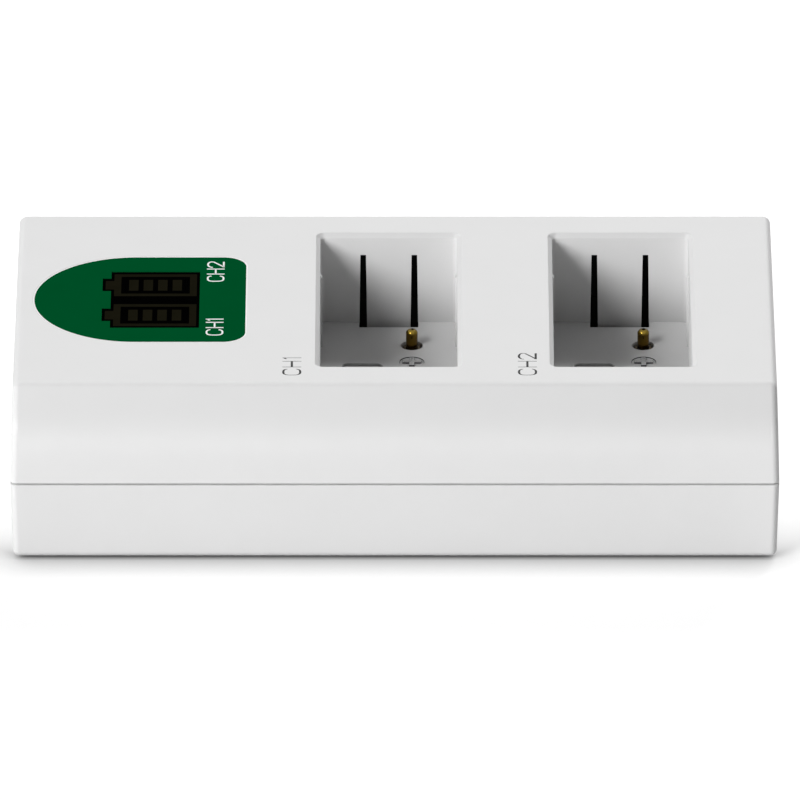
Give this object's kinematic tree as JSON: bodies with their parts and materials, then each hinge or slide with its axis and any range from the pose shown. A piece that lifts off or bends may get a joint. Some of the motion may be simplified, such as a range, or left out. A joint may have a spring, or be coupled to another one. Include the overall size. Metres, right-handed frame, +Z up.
{
  "type": "camera battery charger",
  "caption": "Low wedge-fronted desktop charger with open-topped wells for flat camera batteries, sprung contact pins, a level display window and a rear power inlet.",
  "frame": {"origin": "ground plane under the middle of the case, at the feet", "axes": "+X to the right along the long side, +Y to the rear where the power inlet is, +Z up out of the wells"},
  "size_m": [0.115, 0.0662, 0.0271],
  "materials": {
    "white_abs": "fine satin moulded",
    "green_lens": "smooth, printed on the back",
    "display_black": "smooth dark",
    "segment_resin": "smoked resin, unlit",
    "contact_brass": "turned and gold plated",
    "spring_steel": "drawn wire",
    "inlet_steel": "drawn and plated sheet",
    "black_plastic": "moulded",
    "circuit_board": "solder mask over glass laminate",
    "ribbon_film": "flat film",
    "socket_plastic": "moulded",
    "chip_resin": "moulded resin",
    "ferrite": "pressed and sintered",
    "can_aluminium": "drawn can",
    "screw_steel": "zinc plated",
    "foot_rubber": "moulded"
  },
  "bodies": {
    "charger": {"top_cover": "white_abs", "base_tray": "white_abs", "main_board": "circuit_board", "power_inlet_shell": "inlet_steel", "power_inlet_tongue": "black_plastic", "display_window": "green_lens", "display_housing": "display_black", "display_board": "circuit_board", "display_ribbon": "ribbon_film", "ribbon_socket_main": "socket_plastic", "ribbon_socket_display": "socket_plastic", "control_chip": "chip_resin", "input_capacitor": "can_aluminium", "case_screws": "screw_steel", "display_screws": "screw_steel", "level_segments_1": "segment_resin", "level_segments_2": "segment_resin", "charge_chip_1": "chip_resin", "charge_chip_2": "chip_resin", "power_coil_1": "ferrite", "power_coil_2": "ferrite", "foot_front_left": "foot_rubber", "foot_front_right": "foot_rubber", "foot_rear_left": "foot_rubber", "foot_rear_right": "foot_rubber", "contact_barrel_1_plus": "contact_brass", "contact_barrel_1_minus": "contact_brass", "contact_barrel_2_plus": "contact_brass", "contact_barrel_2_minus": "contact_brass", "contact_spring_1_plus": "spring_steel", "contact_spring_1_minus": "spring_steel", "contact_spring_2_plus": "spring_steel", "contact_spring_2_minus": "spring_steel"},
    "plunger_1_plus": {"contact_plunger_1_plus": "contact_brass"},
    "plunger_1_minus": {"contact_plunger_1_minus": "contact_brass"},
    "plunger_2_plus": {"contact_plunger_2_plus": "contact_brass"},
    "plunger_2_minus": {"contact_plunger_2_minus": "contact_brass"}
  },
  "joints": [
    {"name": "contact_1_plus_press", "type": "slide", "parent": "charger", "child": "plunger_1_plus", "axis": [0, 0, 1], "range_m": [-0.002, 0], "stiffness_N_per_m": 300, "deforming": ["contact_spring_1_plus"]},
    {"name": "contact_1_minus_press", "type": "slide", "parent": "charger", "child": "plunger_1_minus", "axis": [0, 0, 1], "range_m": [-0.002, 0], "stiffness_N_per_m": 300, "deforming": ["contact_spring_1_minus"]},
    {"name": "contact_2_plus_press", "type": "slide", "parent": "charger", "child": "plunger_2_plus", "axis": [0, 0, 1], "range_m": [-0.002, 0], "stiffness_N_per_m": 300, "deforming": ["contact_spring_2_plus"]},
    {"name": "contact_2_minus_press", "type": "slide", "parent": "charger", "child": "plunger_2_minus", "axis": [0, 0, 1], "range_m": [-0.002, 0], "stiffness_N_per_m": 300, "deforming": ["contact_spring_2_minus"]}
  ]
}
